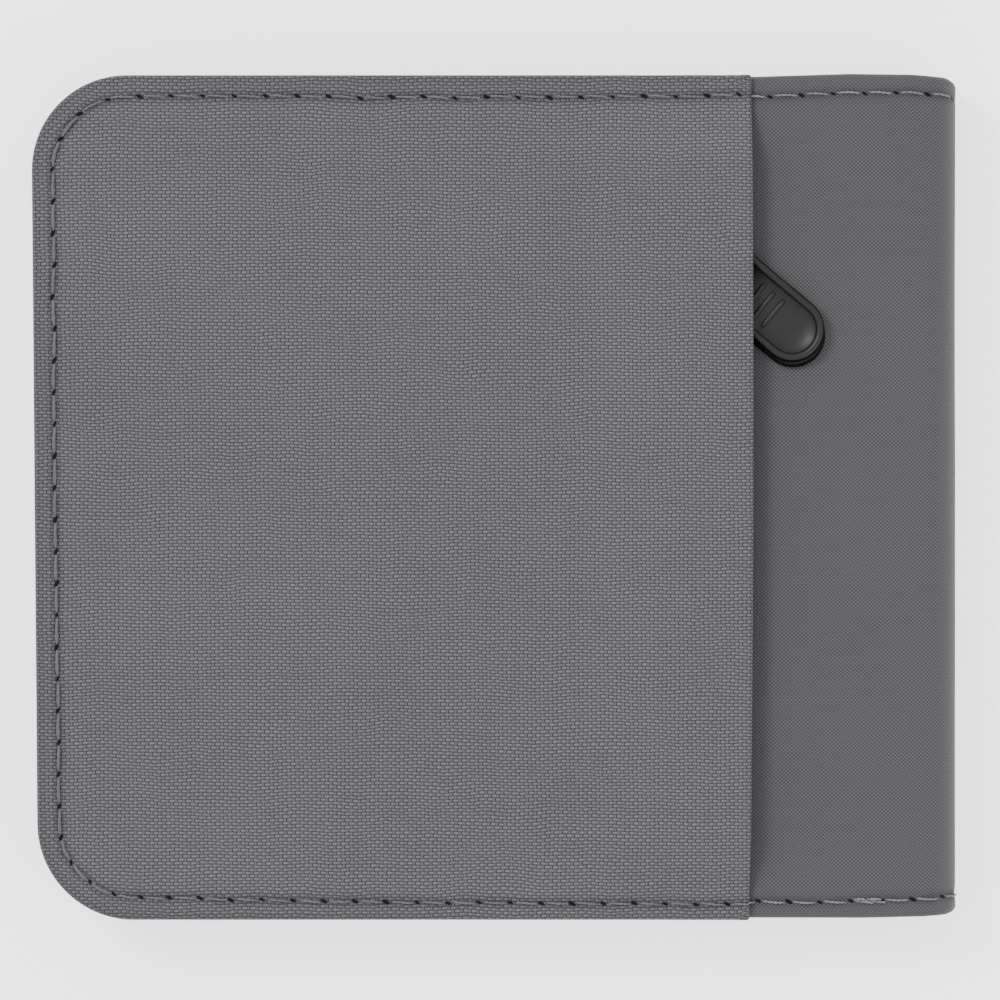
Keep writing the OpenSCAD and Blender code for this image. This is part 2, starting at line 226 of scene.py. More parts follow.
# A plain weave, in millimetres: weft runs along u and warp along v. Each yarn shows where it
# floats over the other, as a short bar whose length and width are set in the look. The bar's
# rounded crown is also its painted shade: lighter at its middle, darker towards its edges.
def weave(g, u, v, look):
    slow, quick = yarnNoise["slow"], yarnNoise["quick"]
    soft = g.noise(g.join(u * slow, v * slow, look["seed"]), 1.0, 2.0)
    fine = g.noise(g.join(u * quick, v * quick, look["seed"] + 5.0), 1.0, 1.0)
    u = u + (soft - 0.5) * look["drift"] + (fine - 0.5) * look["jitter"]
    v = v + (soft - 0.5) * look["drift"] * 1.4 + (fine - 0.5) * look["jitter"]
    cellU, cellV = u / look["pitchU"], v / look["pitchV"]
    yarnU, yarnV = g.math("FLOOR", cellU), g.math("FLOOR", cellV)
    acrossV = g.math("ABSOLUTE", cellV - yarnV - 0.5) * look["pitchV"]
    pair = g.math("FRACT", (cellU + yarnV) * 0.5)
    alongWeft = g.math("ABSOLUTE", pair - 0.25) * look["pitchU"] * 2.0
    acrossWarp = g.math("ABSOLUTE", pair - 0.75) * look["pitchU"] * 2.0

    def bar(along, across, long, wide):
        ends = g.step(along, long * 0.72, long * 1.15, 1.0, 0.0)
        # The crown is both the yarn's bump height and its painted shade, lighter at the middle.
        crown = g.math("MAXIMUM", 1.0 - (across / wide) ** 2.0, 0.0) ** look["round"]
        return ends * crown

    weft = bar(alongWeft, acrossV, look["weftLong"], look["weftWide"])
    warp = bar(acrossV, acrossWarp, look["warpLong"], look["warpWide"])
    slub = g.noise(g.join(u * look["slub"], yarnV * 3.7, yarnU * 0.31), 1.0, 1.0) - 0.5
    fibrePlace = g.join(u * yarnNoise["fibreAlong"], v * yarnNoise["fibreAcross"], 2.0)
    fibre = g.noise(fibrePlace, 1.0, 2.0) - 0.5
    uneven = (g.random(yarnV) - 0.5) * look["uneven"] + slub * look["slubDepth"]
    weft = weft * (1.0 + uneven + fibre * look["fibre"])
    warp = warp * (1.0 + (g.random(yarnU) - 0.5) * look["uneven"])
    return weft, warp


# Marks along a seam, as masks for painted shade: the stitch holes, the groove along the stitches
# and the margin outside them. Its UV map counts the stitch holes and gives the depth inside the
# seam in millimetres, both at a hundredth of their size.
def seamMarks(g, look):
    count, depth, unused = g.uv("seam")
    count, depth = count * 100.0, depth * 100.0
    which = g.math("FLOOR", count + 0.5)
    along = (count - which) * seam["pitch"]
    near = g.math("ABSOLUTE", along)
    wander = (g.random(which + 11.0) - 0.5) * look["holeWander"]
    aside = g.math("ABSOLUTE", depth + wander + along * look["holeSlant"])
    across = g.math("ABSOLUTE", depth + wander)
    size = 0.8 + g.random(which) * 0.4
    reach = ((near / look["holeLong"]) ** 2.0 + (aside / look["holeWide"]) ** 2.0) ** 0.5 / size
    # The hole mask, painted near black as the shade inside each needle hole.
    hole = 1.0 - g.step(reach, 0.6, 1.05)
    groove = g.math("EXPONENT", (across / look["grooveWide"]) ** 2.0 * -1.0)
    # The margin outside the seam, painted darker as shade.
    rim = g.step(depth, look["rimFrom"], look["rimTo"], 1.0, 0.0)
    return hole, groove, rim


def clothMaterial(name, look):
    g = Graph(name)
    u, v, unused = g.uv("weave")
    u, v = u * 100.0, v * 100.0
    weft, warp = weave(g, u, v, look)
    height = g.math("MAXIMUM", weft, warp * 0.7)
    wide, close = yarnNoise["patch"], yarnNoise["fuzz"]
    patch = g.noise(g.join(u * wide, v * wide, 3.0), 1.0, 4.0, 0.6) - 0.5
    fuzz = g.noise(g.join(u * close, v * close, 2.0), 1.0, 1.0) - 0.5
    value = 1.0 + patch * look["patch"] + fuzz * look["fuzz"]
    if look.get("seam"):
        hole, groove, rim = seamMarks(g, look["seam"])
        # Painted shade: the holes go near black, and the groove and the margin outside the seam are
        # darkened.
        value = value * (1.0 - hole * 0.98) * (1.0 - groove * look["seam"]["grooveShade"])
        value = value * (1.0 - rim * look["seam"]["marginShade"])
        height = height * (1.0 - hole) - groove * 0.6
    # Painted shade: where neither yarn floats, the dark gap colour stands for the shade between the
    # yarns.
    yarns = g.mix(g.clip(warp), look["gap"], look["warp"])
    yarns = g.mix(g.clip(weft), yarns, look["weft"])
    color = g.mix(g.clip(value * 0.7), grey(0.0), yarns)
    rough = 0.95 - g.clip(height) * look["gloss"]
    normal = g.bump(height, look["bump"] * mm, look["bumpStrength"])
    return g.finish({
        "Base Color": color, "Roughness": rough, "Normal": normal, "Specular IOR Level": 0.3,
        "Sheen Weight": look["sheen"], "Sheen Roughness": 0.5,
        "Sheen Tint": (0.9, 0.92, 1.0, 1.0),
    })


# The looks: yarn spacing, float sizes and wander in millimetres, then colours. The gap colour is painted
# shade between the yarns.
seamLook = {"holeLong": 0.5, "holeWide": 0.27, "holeSlant": 0.35, "holeWander": 0.2,
            # grooveShade and marginShade: how dark the painted shade in the seam's groove and margin is.
            "grooveWide": 0.62, "grooveShade": 0.33, "marginShade": 0.2, "rimFrom": -2.5, "rimTo": -0.6}
wovenLook = {
    "pitchU": 0.5, "pitchV": 0.395, "weftLong": 0.34, "weftWide": 0.165, "warpLong": 0.25,
    "warpWide": 0.18, "round": 0.9, "drift": 0.8, "jitter": 0.12, "slub": 2.2,
    "slubDepth": 0.65, "uneven": 0.08, "fibre": 0.8, "patch": 0.18, "fuzz": 0.8,
    "gap": (0.042, 0.041, 0.0455, 1.0), "warp": (0.14, 0.1365, 0.152, 1.0),
    "weft": (0.21, 0.2045, 0.2275, 1.0), "gloss": 0.25, "bump": 0.06, "bumpStrength": 0.6,
    "sheen": 0.03, "seed": 1.0, "seam": seamLook,
}
fineLook = {
    "pitchU": 0.239, "pitchV": 0.221, "weftLong": 0.155, "weftWide": 0.115, "warpLong": 0.13,
    "warpWide": 0.11, "round": 0.8, "drift": 0.35, "jitter": 0.03, "slub": 1.5,
    "slubDepth": 0.25, "uneven": 0.03, "fibre": 0.2, "patch": 0.1, "fuzz": 0.15,
    "gap": (0.044, 0.043, 0.0467, 1.0), "warp": (0.067, 0.0655, 0.0715, 1.0),
    "weft": (0.131, 0.1285, 0.1405, 1.0), "gloss": 0.35, "bump": 0.02, "bumpStrength": 0.5,
    "sheen": 0.04, "seed": 4.0, "seam": dict(seamLook, grooveShade=0.2, marginShade=0.0),
}


def scaled(colour, share):
    return (colour[0] * share, colour[1] * share, colour[2] * share, 1.0)


def darker(look, share, pitch, seed):
    changed = {name: scaled(look[name], share) for name in ("gap", "warp", "weft")}
    size = pitch / look["pitchU"]
    for name in ("pitchU", "pitchV", "weftLong", "weftWide", "warpLong", "warpWide"):
        changed[name] = look[name] * size
    return dict(look, seed=seed, seam=None, **changed)


wovenCloth = clothMaterial("wovenCloth", wovenLook)
fineCloth = clothMaterial("fineCloth", fineLook)
pocketCloth = clothMaterial("pocketCloth", darker(fineLook, share=0.42, pitch=0.3, seed=7.0))
liningCloth = clothMaterial("liningCloth", darker(fineLook, share=0.24, pitch=0.2, seed=8.0))
tapeCloth = clothMaterial("tapeCloth", darker(fineLook, share=0.15, pitch=0.42, seed=9.0))


def threadMaterial(name, light, dark):
    g = Graph(name)
    along, around, unused = g.uv("weave")
    strand = g.math("SINE", along * 2600.0 + around * 6.28) * 0.5 + 0.5
    place = g.objectPlace()
    fuzz = g.noise(place, 5200.0, 2.0, 0.6)
    wear = g.noise(place, 300.0, 1.0)
    amount = g.clip(strand * 0.35 + fuzz * 0.5 + (wear - 0.5) * 0.5)
    normal = g.bump(strand * 0.6 + fuzz * 0.4, 0.05 * mm, 0.6)
    return g.finish({
        "Base Color": g.mix(amount, dark, light), "Roughness": 0.62 + fuzz * 0.2,
        "Normal": normal, "Sheen Weight": 0.3, "Sheen Roughness": 0.4,
    })


lightThread = threadMaterial("lightThread", (0.44, 0.43, 0.46, 1.0), (0.05, 0.049, 0.053, 1.0))
panelThread = threadMaterial("panelThread", (0.28, 0.274, 0.294, 1.0), (0.05, 0.049, 0.053, 1.0))
greyThread = threadMaterial("greyThread", (0.15, 0.148, 0.158, 1.0), (0.06, 0.059, 0.064, 1.0))


def hardMaterial(name, look):
    g = Graph(name)
    place = g.objectPlace()
    grain = g.noise(place, look["grain"], 3.0, 0.6)
    cloud = g.noise(place, look["cloud"], 2.0)
    worn = g.step(grain * 0.4 + cloud * 0.6, 0.5, 0.75)
    color = g.mix(g.clip(worn * look["wear"]), look["color"], look["worn"])
    rough = look["rough"] + (grain - 0.5) * look["roughVary"]
    normal = g.bump(grain, look["bump"] * mm, 0.5)
    return g.finish({
        "Base Color": color, "Roughness": rough, "Metallic": look["metal"],
        "Normal": normal, "Specular IOR Level": look["specular"],
    })


# The tab's dish, in metres: its line from the pivot, its round end and how deep it looks, then the
# width and darkness of the painted shade at the dish's edge, where the painted shade on the rim's
# outer edge and on the side starts, and the height of the moulding line.
dish = {"x": 0.0245, "y": 0.0294, "alongX": 0.766, "alongY": -0.643, "end": 0.01435,
        "radius": 0.00287, "depth": 0.0006, "line": 0.00014, "dishEdgeShadeDark": 0.6,
        "rimEdgeShade": 0.00369, "sideTop": 0.01115, "moulding": 0.011}


def gripMaterial():
    g = Graph("gripRubber")
    x, y, z = g.split(g.objectPlace())
    x, y = x - dish["x"], y - dish["y"]
    along = x * dish["alongX"] + y * dish["alongY"]
    across = y * dish["alongX"] - x * dish["alongY"]
    past = g.math("MAXIMUM", along - dish["end"], 0.0)
    reach = (across * across + past * past) ** 0.5
    bowl = g.clip(1.0 - (reach / dish["radius"]) ** 3.0) * -dish["depth"]
    # Painted shade: a thin dark ring where the dish meets the rim.
    line = g.math("EXPONENT", ((reach - dish["radius"]) / dish["line"]) ** 2.0 * -1.0)
    grain = g.noise(g.objectPlace(), 9000.0, 3.0, 0.6)
    worn = g.noise(g.objectPlace(), 420.0, 3.0, 0.6)
    # The base colour carries that painted shade, and random wear besides.
    shadeAndWear = g.clip((1.0 - line * dish["dishEdgeShadeDark"]) * (0.75 + worn * 0.5))
    rounded = g.bump(bowl, 1.0)
    normal = g.make("ShaderNodeBump", None, {
        "Height": grain, "Distance": 0.012 * mm, "Strength": 0.5, "Normal": rounded})
    # Painted shade: the tab's side below sideTop and its rim's outer edge get a near-black, barely glossy
    # copy of the rubber.
    side = g.step(z, dish["sideTop"] - 0.0001, dish["sideTop"], 1.0, 0.0)
    rimEdgeShade = g.step(reach, dish["rimEdgeShade"], dish["rimEdgeShade"] + 0.00005, 0.0, 1.0)
    turned = g.math("MAXIMUM", side, rimEdgeShade)
    # Along the moulding line that painted shade is left off, so the rubber's own sheen shows as a thin
    # highlight.
    moulding = g.math("EXPONENT", ((z - dish["moulding"]) / 0.00006) ** 2.0 * -1.0)
    shadedRubber = g.make("ShaderNodeBsdfPrincipled", None, {
        "Base Color": grey(0.004), "Roughness": 0.7 + grain * 0.2, "Normal": normal,
        "Specular IOR Level": 0.04})
    return g.finish({
        "Base Color": g.mix(shadeAndWear, grey(0.001), (0.0075, 0.0072, 0.0077, 1.0)),
        "Roughness": 0.34 + grain * 0.12 + worn * 0.12, "Normal": normal,
        "Specular IOR Level": 0.38,
    }, g.clip(turned * (1.0 - moulding)), shadedRubber)


gripRubber = gripMaterial()
blackMetal = hardMaterial("blackMetal", {
    "grain": 6000.0, "cloud": 400.0, "color": (0.02, 0.02, 0.021, 1.0),
    "worn": (0.1, 0.097, 0.095, 1.0), "wear": 0.35, "rough": 0.33, "roughVary": 0.2,
    "bump": 0.008, "metal": 0.85, "specular": 0.5})
dullMetal = hardMaterial("dullMetal", {
    "grain": 5000.0, "cloud": 500.0, "color": (0.32, 0.32, 0.325, 1.0),
    "worn": (0.5, 0.5, 0.5, 1.0), "wear": 0.6, "rough": 0.38, "roughVary": 0.25,
    "bump": 0.01, "metal": 1.0, "specular": 0.5})
nylon = hardMaterial("nylon", {
    "grain": 7000.0, "cloud": 600.0, "color": (0.012, 0.012, 0.013, 1.0),
    "worn": (0.03, 0.03, 0.032, 1.0), "wear": 0.5, "rough": 0.42, "roughVary": 0.2,
    "bump": 0.01, "metal": 0.0, "specular": 0.5})
boardStock = hardMaterial("boardStock", {
    "grain": 3000.0, "cloud": 150.0, "color": (0.16, 0.14, 0.11, 1.0),
    "worn": (0.11, 0.095, 0.075, 1.0), "wear": 0.8, "rough": 0.85, "roughVary": 0.1,
    "bump": 0.02, "metal": 0.0, "specular": 0.3})


def filmMaterial():
    g = Graph("clearFilm")
    place = g.objectPlace()
    scratch = g.noise(place, 900.0, 4.0, 0.7)
    haze = g.step(scratch, 0.45, 0.8)
    return g.finish({
        "Base Color": (0.5, 0.52, 0.53, 1.0), "Roughness": 0.08 + haze * 0.25,
        "Alpha": 0.1 + haze * 0.08, "IOR": 1.5, "Normal": g.bump(scratch, 0.01 * mm, 0.3),
    })


clearFilm = filmMaterial()
print("materials made")


def holeNumber(s):
    low, high = seam["holes"][0], seam["holes"][-1]
    if s < low[0]:
        return low[1] + (s - low[0]) / seam["pitch"]
    if s > high[0]:
        return high[1] + (s - high[0]) / seam["pitch"]
    return between(seam["holes"], s)


def holeLength(number):
    return between([(count, s) for s, count in seam["holes"]], number)


def seamDrift(s):
    return between(seam["drift"], s) + seam["wander"] * ripple(s, 0.0, 5.3, 4.0)


def seamPoint(s, across=0.0):  # a point on the cloth, at a length along the seam and inside it
    inset = seam["inset"] + seamDrift(s) + across
    radius = wallet["cornerRadius"] - inset
    high = wallet["halfHeight"] - inset
    if s < 0:
        return cornerX - s, high
    if s < cornerArc:
        a = s / cornerArc * math.pi / 2
        return cornerX - radius * math.sin(a), cornerY + radius * math.cos(a)
    s -= cornerArc
    if s < 2 * cornerY:
        return wallet["freeX"] + inset, cornerY - s
    s -= 2 * cornerY
    if s < cornerArc:
        a = s / cornerArc * math.pi / 2
        return cornerX - radius * math.cos(a), -cornerY - radius * math.sin(a)
    return cornerX + s - cornerArc, -high


def seamPlace(x, y):  # length along the seam and depth inside it, for a point on the cloth
    radius = wallet["cornerRadius"] - seam["inset"]
    side = x - wallet["freeX"] - seam["inset"]
    below = wallet["halfHeight"] - seam["inset"] - abs(y)
    if x < cornerX and abs(y) > cornerY:
        dx, dy = cornerX - x, abs(y) - cornerY
        a = math.atan2(dx, dy) if y > 0 else math.atan2(dy, dx)
        start = 0.0 if y > 0 else cornerArc + 2 * cornerY
        s, depth = start + a * cornerArc / (math.pi / 2), radius - math.hypot(dx, dy)
    elif side < below:
        s, depth = cornerArc + cornerY - y, side
    elif y > 0:
        s, depth = cornerX - x, below
    else:
        s, depth = 2 * cornerArc + 2 * cornerY + x - cornerX, below
    return s, depth - seamDrift(s)


# How the seam pulls the cloth down, swells it outside and ripples it between the stitches.
pull = {"reach": 12.0, "groove": 0.17, "grooveWide": 0.55, "swell": 0.05, "swellOut": 1.3,
        "swellWide": 0.7, "ripple": 0.035, "rippleWide": 1.6}


def pucker(x, y):
    s, d = seamPlace(x, y)
    if d > pull["reach"]:
        return 0.0
    beat = math.cos(2 * math.pi * holeNumber(s))
    groove = -pull["groove"] * math.exp(-(d / pull["grooveWide"]) ** 2) * (0.7 + 0.3 * beat)
    swell = pull["swell"] * math.exp(-((d + pull["swellOut"]) / pull["swellWide"]) ** 2)
    return groove + swell - pull["ripple"] * beat * math.exp(-abs(d) / pull["rippleWide"])


def leaned(x, y):  # the free side is a little out of square
    share = min(1.0, max(0.0, (wallet["leanFrom"] - x) / wallet["leanOver"]))
    return x - (wallet["lean"] * y + wallet["leanShift"]) * share


def gridLines(low, high, coarse, fine, lowBand, highBand, extra=()):
    lines = [low]
    while lines[-1] < high - 1e-6:
        here = lines[-1]
        near = here < low + lowBand or here > high - highBand
        lines.append(min(high, here + (fine if near else coarse)))
    if len(lines) > 2 and lines[-1] - lines[-2] < fine * 0.4:
        lines.pop(-2)
    for value in extra:
        nearest = min(range(1, len(lines) - 1), key=lambda i: abs(lines[i] - value))
        lines[nearest] = value
    return lines


def depthInside(x, y, area, leftRadius, rightRadius):
    x0, x1, y0, y1 = area
    cx, cy = (x0 + x1) / 2, (y0 + y1) / 2
    radius = leftRadius if x < cx else rightRadius
    qx = abs(x - cx) - (x1 - x0) / 2 + radius
    qy = abs(y - cy) - (y1 - y0) / 2 + radius
    outside = math.hypot(max(qx, 0.0), max(qy, 0.0))
    depth = radius - outside - min(max(qx, qy), 0.0)
    if qx > 0 and qy > 0:
        nx, ny = qx / outside, qy / outside
    else:
        nx, ny = (1.0, 0.0) if qx > qy else (0.0, 1.0)
    return depth, math.copysign(nx, x - cx), math.copysign(ny, y - cy)


def rolled(a, radius, drop):  # how far in and down a turned edge is, at a length from its rim
    if a < drop - radius:
        return 0.0, -drop + a
    turn = (a - (drop - radius)) / radius
    if turn < math.pi / 2:
        return radius * (1 - math.cos(turn)), -radius * (1 - math.sin(turn))
    return None, 0.0


def roundedBy(radius, reach):  # how far a rounded corner stands back, at a distance from its end
    if reach >= radius:
        return 0.0
    return radius - math.sqrt(max(0, radius ** 2 - (radius - reach) ** 2))


def flatX(x, y, wide, cut, margin, hole):  # follows the rounded corners, but not beside a hole
    startX, endX = wide[0], wide[1]
    for end, edge in ((wide[3], "T"), (wide[2], "B")):
        if edge in cut["round"]:
            startX += roundedBy(cut["leftRadius"] + margin, abs(end - y)) * ("L" in cut["turned"])
            endX -= roundedBy(cut["rightRadius"] + margin, abs(end - y)) * ("R" in cut["turned"])
    if not hole:
        return startX + (x - wide[0]) / (wide[1] - wide[0]) * (endX - startX)
    if x < hole[0]:
        return startX + (x - wide[0]) / (hole[0] - wide[0]) * (hole[0] - startX)
    if x > hole[1]:
        return endX - (wide[1] - x) / (wide[1] - hole[1]) * (endX - hole[1])
    return x


def within(hole, corners):
    slack = 0.01
    return all(hole[0] - slack < x < hole[1] + slack and hole[2] - slack < y < hole[3] + slack
               for x, y in corners)


# Lays the weave and seam patterns on a sheet, opens its hole and returns its flat area.
def patterned(bm, flat, sewn, hole):
    weaveUv = bm.loops.layers.uv["weave"]
    seamUv = bm.loops.layers.uv["seam"]
    area, inside = 0.0, []
    for face in bm.faces:
        face.smooth = True
        corners = [flat[v.index] for v in face.verts]
        if hole and within(hole, corners):
            inside.append(face)
            continue
        area += abs(sum(a[0] * b[1] - a[1] * b[0]
                        for a, b in zip(corners, corners[1:] + corners[:1]))) / 2
        for loop in face.loops:
            x, y = flat[loop.vert.index]
            s, d = sewn[loop.vert.index]
            loop[weaveUv].uv = (x * 0.01, y * 0.01)
            loop[seamUv].uv = (holeNumber(s) * 0.01, d * 0.01)
    bmesh.ops.delete(bm, geom=inside, context="FACES")
    return area


# A sheet of cloth with its edges turned down, bent to shape by place(x, y, height). Its cut names
# the turned edges, and where it has a fade, they flatten out before the cloth folds over there.
def clothSheet(name, cut, place, lift=None, hole=None):
    edges, radius, drop = cut["turned"], cut["edgeRadius"], cut["drop"]
    margin = drop - radius + radius * math.pi / 2 - radius
    x0, x1, y0, y1 = cut["x0"], cut["x1"], cut["y0"], cut["y1"]
    far = 300.0
    outline = (x0 if "L" in edges else x0 - far, x1 if "R" in edges else x1 + far,
               y0 if "B" in edges else y0 - far, y1 if "T" in edges else y1 + far)
    wide = (x0 - margin * ("L" in edges), x1 + margin * ("R" in edges),
            y0 - margin * ("B" in edges), y1 + margin * ("T" in edges))
    fine, coarse, band = cut["fine"], cut["coarse"], cut["band"]
    extraX, extraY = (hole[0:2], hole[2:4]) if hole else ((), ())
    xs = gridLines(wide[0], wide[1], coarse, fine, band, cut.get("rightBand", band), extraX)
    ys = gridLines(wide[2], wide[3], coarse, fine, band, band, extraY)
    bm = bmesh.new()
    bmesh.ops.create_grid(bm, x_segments=len(xs) - 1, y_segments=len(ys) - 1, size=1.0)
    bm.loops.layers.uv.new("weave")
    bm.loops.layers.uv.new("seam")
    flat, sewn = {}, {}
    spread = 2.0
    for vert in bm.verts:
        i = round((vert.co.x + 1) / 2 * (len(xs) - 1))
        j = round((vert.co.y + 1) / 2 * (len(ys) - 1))
        y = ys[j]
        x = flatX(xs[i], y, wide, cut, margin, hole)
        depth, nx, ny = depthInside(x, y, outline, cut["leftRadius"], cut["rightRadius"])
        inset, down = rolled(depth + margin, radius, drop)
        moved = depth - inset if inset is not None else 0.0
        ease = smooth(x, cut["fade"] - 1.5, cut["fade"] - 0.3) if "fade" in cut else 0.0
        if ease and depth < spread:
            plain = depth - (depth + margin) / (spread + margin) * spread
            moved += (plain - moved) * ease
        nowX, nowY = x + nx * moved, y + ny * moved
        flat[vert.index] = (x, y)
        sewn[vert.index] = seamPlace(nowX, nowY)
        down *= 1 - ease
        height = down + (lift(nowX, nowY) if lift else 0.0)
        vert.co = Vector(place(nowX, nowY, height)) * mm
    area = patterned(bm, flat, sewn, hole)
    if cut.get("faceDown"):
        bmesh.ops.reverse_faces(bm, faces=bm.faces[:])
    piece = asObject(name, bm, cut["material"], cut["thickness"])
    if "held" in cut:
        flatSize = ((wide[1] - wide[0]) * mm, (wide[3] - wide[2]) * mm)
        area * mm * mm
    return piece


def asObject(name, bm, material, thickness=None):
    mesh = bpy.data.meshes.new(name)
    bm.to_mesh(mesh)
    bm.free()
    mesh.materials.append(material)
    piece = bpy.data.objects.new(name, mesh)
    bpy.context.scene.collection.objects.link(piece)
    if thickness:
        shell = piece.modifiers.new("thickness", "SOLIDIFY")
        shell.thickness = thickness * mm
        shell.offset = -1.0
    return piece


# Attaches a piece to the body that carries it, or bakes its transform where it bends between bodies,
# and hides the CAD nodes it stands for.
def fitted(piece, bodies, nodes, bend=()):
    if bend:
        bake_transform(piece)
    else:
        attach(piece, *bodies)
    if nodes:
        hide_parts(*nodes)
    return piece


lowerBend = ((bendX * mm, 0.0, 0.0), (wallet["foldX"] * mm, 0.0, wallet["foldRadius"] * mm))
upperBend = ((wallet["foldX"] * mm, 0.0, (wallet["thickness"] - wallet["foldRadius"]) * mm),
             (bendX * mm, 0.0, wallet["thickness"] * mm))


def foldSection(x, height, radius):  # across the lower bend: x, and height above the table side
    centre = wallet["foldRadius"]
    length = centre * math.pi / 2  # every layer is cut as long as the outermost
    if x < bendX:
        return x, centre - radius - height
    turn = (x - bendX) / length
    bulge = wallet["foldBulge"] * smooth(x, bendX, midSpine)
    if turn < 1:
        a = turn * math.pi / 2
        reach = radius + height
        return bendX + reach * math.sin(a) + bulge, centre - reach * math.cos(a)
    return bendX + radius + height + bulge, centre + (x - bendX - length)


def pulledY(x, y):  # the outline draws in a little as it nears the fold
    share = (abs(y) / wallet["halfHeight"]) ** 3
    if y > 0:
        return y - share * between(drawIn["top"], x)
    return y + share * between(drawIn["bottom"], x)


def lowerCover(x, y, height):
    outX, outZ = foldSection(x, height, wallet["foldRadius"])
    return leaned(outX, y), pulledY(x, y), outZ


def upperCover(x, y, height):
    outX, outZ = foldSection(x, height, wallet["foldRadius"])
    return leaned(outX, y), pulledY(x, y), wallet["thickness"] - outZ


def coverLift(x, y):
    return pucker(x, y) * 0.7 + 0.05 * ripple(x, y, 17, 2.0)


# The two cover cloths, which meet in the middle of the fold.
coverCut = {
    "x0": wallet["freeX"], "x1": midSpine, "y0": -wallet["halfHeight"],
    "y1": wallet["halfHeight"] + wallet["topRise"],
    "leftRadius": wallet["cornerRadius"], "rightRadius": 1.2, "round": "TB",
    "turned": "LTB", "edgeRadius": 0.5, "drop": 0.95, "thickness": 0.4,
    "fine": 0.28, "coarse": 1.3, "band": 6.0, "material": fineCloth, "faceDown": True,
    "held": "folded", "on": ["front_board"],
}
coverFront = clothSheet(
    "coverFront", coverCut, lowerCover, lambda x, y: min(0.0, coverLift(x, y)) - 0.02)
fitted(coverFront, ["front_half", "spine"], ["front_cover"], lowerBend)

stripCut = dict(coverCut, x0=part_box("back_cover_strip")[0].x / mm, turned="LTB", leftRadius=0.5,
                faceDown=False, fine=0.3, coarse=0.6, band=5.0, rightBand=9.0,
                on=["foldLining", "zipTapeRight"])
coverBack = clothSheet("coverBack", stripCut, upperCover, coverLift)
fitted(coverBack, ["spine", "back_half"], ["back_cover_strip", "spine_cover"],
       upperBend)
print("covers made")


flap = {
    "edge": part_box("woven_panel")[1].x / mm,
    "rise": 2.35,  # how far the flap stands up over the zip
    "rampFrom": 9.5,
    "rampTo": 20.5,
    "fullTo": 40.0,  # the flap is at its full height up to here, along the fold
    "downAt": 47.6,
    "foldThickness": 0.92,
    "hem": 9.0,
    "hemRampFrom": 19.0,  # where the cloth starts to rise over its own hem
    "hemRampTo": 23.0,
    "hemRise": 0.24,
    "corner": 0.3,
    "bow": 0.26,
    "bowHalf": 48.0,
    "setBack": 0.12,
    "skew": 0.12,
    "calmFrom": 22.0,  # past here the cloth lies smoother
    "calmTo": 29.0,
}
panelBase = level("back_cover_strip", 1) + 0.68
hemRadius = flap["foldThickness"] / 2


def flapEdge(y):
    bow = flap["bow"] * (1 - (y / flap["bowHalf"]) ** 2)
    return flap["edge"] + bow - flap["setBack"] + flap["skew"] * y / 50


def panelTop(x, y):
    along = 1 - smooth(abs(y), flap["fullTo"], flap["downAt"])
    across = smooth(x, flap["rampFrom"], flap["rampTo"])
    doubled = flap["hemRise"] * smooth(x, flap["hemRampFrom"], flap["hemRampTo"])
    return panelBase + flap["rise"] * along * across * 0.98 + doubled


def panelPlace(x, y, height):
    edge = flapEdge(y)
    turnX = edge - hemRadius
    past = min(1.0, max(0.0, (x - turnX) / (hemRadius * 1.3)))
    y = math.copysign(abs(y) - flap["corner"] * (1 - math.sqrt(1 - past * past))
                      * smooth(abs(y), wallet["halfHeight"] - 3, wallet["halfHeight"]), y)
    if x < turnX:
        return leaned(x, y), y, panelTop(x, y) + height
    length = x - turnX
    top = panelTop(turnX, y)
    if length < math.pi * hemRadius:
        a = length / hemRadius
        reach = hemRadius + height
        return turnX + reach * math.sin(a), y, top - hemRadius + reach * math.cos(a)
    backX = turnX - (length - math.pi * hemRadius)
    return backX, y, panelTop(backX, y) - 2 * hemRadius - height


def panelLift(x, y):
    if x > flap["edge"] - 1.0:
        return 0.0
    calm = smooth(x, flap["calmFrom"], flap["calmTo"])
    bumpy = 0.16 * ripple(x, y, 24, 5.0) + 0.05 * ripple(x, y, 9, 6.0)
    return pucker(x, y) + bumpy * (1 - 0.6 * calm)


panelCut = {
    "x0": wallet["freeX"], "x1": flap["edge"] - hemRadius + math.pi * hemRadius + flap["hem"],
    "y0": -wallet["halfHeight"], "y1": wallet["halfHeight"] + wallet["topRise"],
    "leftRadius": wallet["cornerRadius"], "rightRadius": 0.6, "round": "TB", "turned": "LTB",
    "edgeRadius": 0.55, "drop": 1.0, "thickness": 0.38, "fine": 0.3, "coarse": 0.62,
    "band": 5.0, "rightBand": 12.0, "material": wovenCloth, "fade": flap["edge"] - hemRadius,
    "held": "folded", "on": ["panelBacking", "coverBack"],
}
wovenPanel = clothSheet("wovenPanel", panelCut, panelPlace, panelLift)
fitted(wovenPanel, ["back_half"], ["woven_panel"])
print("woven panel made")


# One stitch of two twisted strands, in millimetres; its arch rises over the cloth and it sinks
# into it at both ends.
stitchLook = {"ply": 0.075, "strand": 0.075, "rings": 12, "sides": 5, "turns": 2.6,
              "skew": 1.0, "arch": 0.26, "sink": 0.3, "slant": 0.1, "sag": 0.0, "gap": 0.3}


